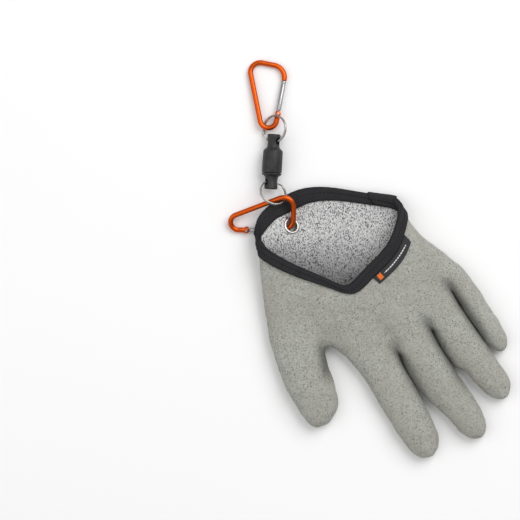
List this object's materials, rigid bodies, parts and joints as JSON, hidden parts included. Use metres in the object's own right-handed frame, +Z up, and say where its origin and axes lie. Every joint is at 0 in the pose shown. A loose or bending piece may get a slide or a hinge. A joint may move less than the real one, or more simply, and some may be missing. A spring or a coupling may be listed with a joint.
{
  "type": "fishing glove",
  "caption": "Coated right-hand fishing glove lying flat, with a knit-lined open cuff, a bound rim, and an eyelet carrying a clip chain with a magnetic release.",
  "frame": {"origin": "middle of the outline, on the surface that the glove lies on", "axes": "+Z up from the surface, -Y towards the fingertips, +X towards the little finger's side"},
  "size_m": [0.1834, 0.371, 0.0292],
  "materials": {
    "latex": "crinkled matt latex, warm grey",
    "knit": "melange knit, black and white yarn",
    "tape": "black woven binding tape",
    "label": "black woven label, bare",
    "nickel": "nickel plated",
    "orange_alloy": "orange anodised",
    "steel": "bright steel",
    "black_plastic": "moulded matt black"
  },
  "bodies": {
    "glove": {"latex_coat": "latex", "knit_liner": "knit", "binding_tape": "tape", "binding_overlap": "tape", "label_tab": "label", "eyelet": "nickel", "lower_carabiner_frame": "orange_alloy", "lower_gate_rivet": "steel", "lower_split_ring": "nickel", "release_lower_half": "black_plastic", "release_upper_half": "black_plastic", "upper_split_ring": "nickel", "upper_carabiner_frame": "orange_alloy", "upper_gate_rivet": "steel"},
    "lower_gate": {"lower_carabiner_gate": "steel"},
    "upper_gate": {"upper_carabiner_gate": "steel"}
  },
  "joints": [
    {"name": "lower_gate_hinge", "type": "hinge", "parent": "glove", "child": "lower_gate", "pos_m": [-0.04508, 0.0698, 0.00294], "axis": [-0.2579, -0.2783, 0.9252], "range_deg": [0, 15], "stiffness_Nm_per_rad": 0.05, "springref_deg": -8.59},
    {"name": "upper_gate_hinge", "type": "hinge", "parent": "glove", "child": "upper_gate", "pos_m": [0.03032, 0.13735, 0.00458], "axis": [0.0315, 0.0495, 0.9983], "range_deg": [0, 20], "stiffness_Nm_per_rad": 0.05, "springref_deg": -8.59}
  ]
}
